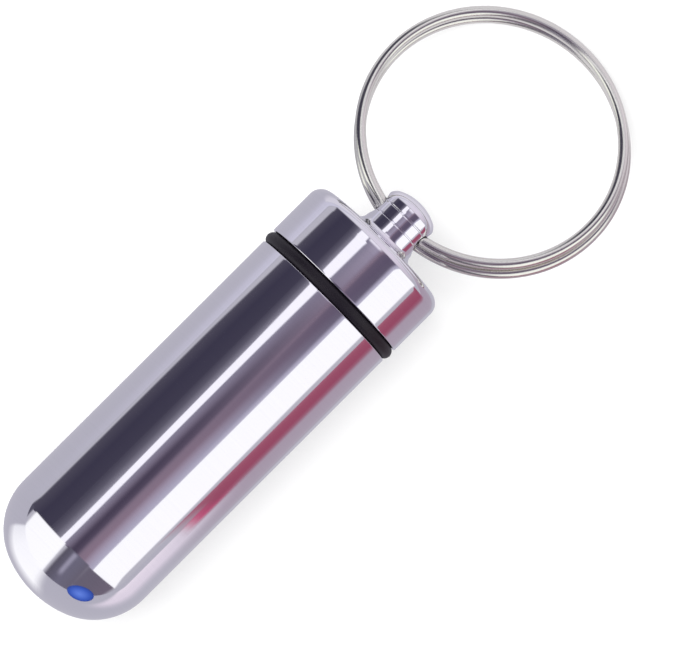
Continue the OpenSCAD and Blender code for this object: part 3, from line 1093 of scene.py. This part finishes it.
# %% Lay out the overhead cards
OVERHEAD_TONES = (
    "#837E8F", "#7A7284", "#7F7586", "#807283", "#806F7F", "#857282", "#9D91A3", "#A8A3B6", "#B4B0C2")
CAMERA_TONES = ("#574D60", "#463E50", "#5A4F62")
DIM_TONES = ("#655A6D", "#5B5266", "#5F5869")
PALE_TONES = ("#7D798A", "#9890A2", "#9A93A8")

dome_card("overhead", [(-33, -13, 42), (57, -13, 42)], OVERHEAD_TONES, (0, 0, 0, 0.12))
dome_card("camera_shape", [(-33, -9, 15.5), (6, -9, 15.5)], CAMERA_TONES, (0.45, 0.32, 0, 0.25))
dome_card("far_dim", [(-4, 11, 39), (57, 12, 38.5)], DIM_TONES, (0.2, 0.22, 0.14, 0.16))
dome_card("far_pale", [(2, -13, 13), (44, -13, 12)], PALE_TONES, (0.05, 0.3, 0.09, 0.2))
dome_card("far_bright", [(26, -13, 13), (57, -13, 13)], ("#E6E3EC", "#DCD5E2"), (0.16, 0.3, 0.6, 0.2))
print(len(cards), "cards overhead")

# %% [markdown]
# To the left of them stand a narrow strip lamp and a wide dark flag, and to the right a bright
# window. The strip widens and the flag narrows towards the cap. The flag's edge beside the strip is a
# card of its own, which passes from the flag's dark to the strip's light.

# %% Lay out the flag, the strip and the window
STRIP = [
    (-33, -20.5, -11), (-5, -20.5, -11), (-3, -22.2, -11.6), (0, -23, -12.2), (2, -25.2, -12),
    (5, -28.5, -8.6), (8, -29.2, -8), (12, -28.5, -12), (57, -27, -12)]
FLAG = [
    (-33, -90, -40), (-5, -87.5, -40), (0, -87.2, -40), (2, -86.5, -40), (5, -81, -40), (10, -79, -40),
    (57, -76, -40)]
FLAG_EDGE = [(ahead, -41, left + 1.5) for ahead, left, _ in STRIP]
WINDOW_CARD = [(-33, 39, 84), (-5, 39.5, 82.2), (0, 40, 79.2), (10, 40, 79.2), (38, 41, 78), (57, 42, 74)]

dome_card("dark_flag", FLAG, ("#4E4B58", "#3A3748", "#3F3C4C"), (0.08, 0, 0, 0.12))
dome_card("flag_edge", FLAG_EDGE, ("#403D4D", "#5A5765", "#8A8794"), (0.05, 0, 0, 0.12))
dome_card("strip_lamp", STRIP, ("#F8F6FD", "#F8F6FD"), (0.1, 0.18, 0, 0.12))
dome_card("window", WINDOW_CARD, ("#FCFCFD", "#FDFCFD"), (0.01, 0.06, 0, 0.12))
print(len(cards), "cards over the capsule")

# %% [markdown]
# ## Beyond both ends
#
# The rounded end also shows what stands behind it: a bright panel to the left, a dim one in the
# middle with a paler streak, violet under the window, and the tail of the flag. The cap's shoulder
# shows a pale wall.

# %% Lay out the cards beyond both ends
BRIGHT = [(-92, -66, -8), (-60, -72, -8), (-30, -74, -9)]
VIOLET = [(-84, 22, 62), (-60, 22, 77), (-31, 22, 86)]
PANEL_TONES = ("#4F4B57", "#6A6778", "#66616F")
STREAK_TONES = ("#8B8798", "#9591A3", "#8B8798")
WALL_TONES = ("#C9C8D2", "#D5D2DB", "#D8CFDC", "#BDB5BE")

dome_card("bright_panel", BRIGHT, ("#FBFBFB", "#FEFEFE"), (0.07, 0.04, 0, 0.02))
dome_card("dim_panel", [(-94, -8, 34), (-29, -8, 34)], PANEL_TONES, (0.12, 0.1, 0.02, 0.02))
dome_card("dim_streak", [(-80, 4, 15), (-29, 3, 15)], STREAK_TONES, (0.45, 0.45, 0.3, 0.1))
dome_card("violet_panel", VIOLET, ("#66616F", "#67606E", "#6E6472"), (0.22, 0.12, 0.3, 0.03))
dome_card("flag_tail", [(-62, -90, -75), (-29, -96, -76)], ("#5A5766", "#4B4957"), (0.35, 0.25, 0.3, 0))
dome_card("far_wall", [(50, -78, 66), (93, -110, 84)], WALL_TONES, (0.1, 0.1, 0.25, 0))
print(len(cards), "cards on the dome")

# %% [markdown]
# ## On the table
#
# The sides of the capsule show the table beside it. Cards on the table paint the light on it: paler where
# the lamp or the window falls on it, lighter ahead and far to the left, and pinker and darker beside a
# rose card to the right, which the capsule shows as a red streak. The streak's brighter tip is a painted
# highlight on the rose card's near end. The rose card rises with the distance, so that the streak is wide
# enough.

# %% Lay out the cards on the table
LAMP_PATCH = [(-300, 390, -6), (-42, 16, -1)]
WINDOW_PATCH = [(-62, -16, -95), (-14, -16, -95)]
ROSE = [(-24, -31, -300), (20, -31, -300), (150, -285, -300)]
# Where the painted highlight on the rose card's near end lies
ROSE_HIGHLIGHT = [(-23.5, -33, -80), (-15, -33, -80)]
ROSE_SLOPE = 0.13


def table_card(name, outline, tones, edges, slope=0.0):
    """A card on the table. outline lists (x, left y, right y) in mm, and slope is its rise to the side."""
    ahead, left, right = np.array(outline, float).T
    x = np.linspace(ahead[0], ahead[-1], CARD_GRID)
    left, right = np.interp(x, ahead, left)[:, None], np.interp(x, ahead, right)[:, None]
    y = left + (right - left) * np.linspace(0, 1, CARD_GRID)
    z = 0.2 + 0.02 * len(cards) + slope * np.abs(y - outline[0][1])
    place_card(name, np.stack([x[:, None] + 0 * y, y, z], axis=-1) * MM, tones, edges)


# Painted pool of the lamp's light on the paper.
table_card("paper_by_lamp", LAMP_PATCH, ("#E4E4E8", "#F8F8F9", "#FDFDFD"), (0.12, 0.14, 0, 0.02))
# Painted sheen: the paper to the left of the capsule, lighter further out.
table_card("paper_sheen_to_left", [(-40, 24, 260), (160, 24, 260)], ("#C0BECD", "#CCCAD8"), (0.2, 0, 0.3, 0.1))
# Painted sheen: lighter paper ahead of the cap.
table_card("paper_sheen_ahead", [(17, 70, -60), (200, 70, -60)], ("#D0CED6", "#D2CDD6"), (0.2, 0.2, 0.04, 0))
# Painted rose light and shade: the paper beside the rose card is shown pinker and darker.
table_card("paper_rose_bounce", [(-30, -11, -50), (60, -11, -50)], ("#A69BA7", "#A391A0"), (0.1, 0, 0.15, 0.2))
# Painted pool of the window's light on the paper.
table_card("paper_by_window", WINDOW_PATCH, ("#D8CFDA", "#E8DEE7"), (0.2, 0, 0.3, 0.3))
table_card("rose_card", ROSE, ("#924860", "#9C586C", "#A45E78"), (0.045, 0, 0.022, 0.05), ROSE_SLOPE)
# Painted highlight: a brighter pink card on the rose card's near end, seen as the streak's brighter tip.
table_card("rose_highlight", ROSE_HIGHLIGHT, ("#D85C86", "#E0608C"), (0.2, 0.3, 0.35, 0.5), ROSE_SLOPE)
print(len(cards), "cards so far")

# %% [markdown]
# ## The blue ball
#
# The photograph's rounded end shows one small spot of blue, bright at one side. A ball on the table is the
# simplest thing that looks like that in a curved mirror. It is a card too: its columns go from the point
# that faces the capsule to the back, and its tones run from light to dark over them, a painted highlight
# and painted shade. In Blender's menu there is a ready sphere, but it has no such columns.

# %% Make the blue ball
BALL_R, BALL_AT, BALL_FACES = 10.0, (-64.2, -23.8, 13.2), 141.0
# Painted highlight and shade: the ball glows lightest where it faces the capsule and darkest towards its
# back.
BALL_LIT_TO_SHADED_TONES = ("#6484DC", "#3D5CB8", "#2A3F87", "#1F2C5C", "#1F2C5C", "#1F2C5C")

round_axis = np.linspace(0, 2 * np.pi, CARD_GRID)[:, None]
off_axis = np.linspace(0, np.pi, CARD_GRID)[None, :] + 0 * round_axis
facing = np.array([-math.cos(math.radians(BALL_FACES)), math.sin(math.radians(BALL_FACES)), 0])
sideways = np.array([-facing[1], facing[0], 0])
normal = np.cos(off_axis)[..., None] * facing
normal = normal + (np.sin(off_axis) * np.cos(round_axis))[..., None] * sideways
normal[..., 2] += np.sin(off_axis) * np.sin(round_axis)
place_card("blue_ball", (BALL_AT + BALL_R * normal) * MM, BALL_LIT_TO_SHADED_TONES, (0, 0, 0, 0))
print(f"{len(cards)} cards: {', '.join(cards)}")

# %% [markdown]
# ## The view transform
#
# The render uses Blender's Standard view transform. The visible surfaces must stay
# inside the CAD box.

# %% Finish
bpy.context.scene.view_settings.view_transform = "Standard"
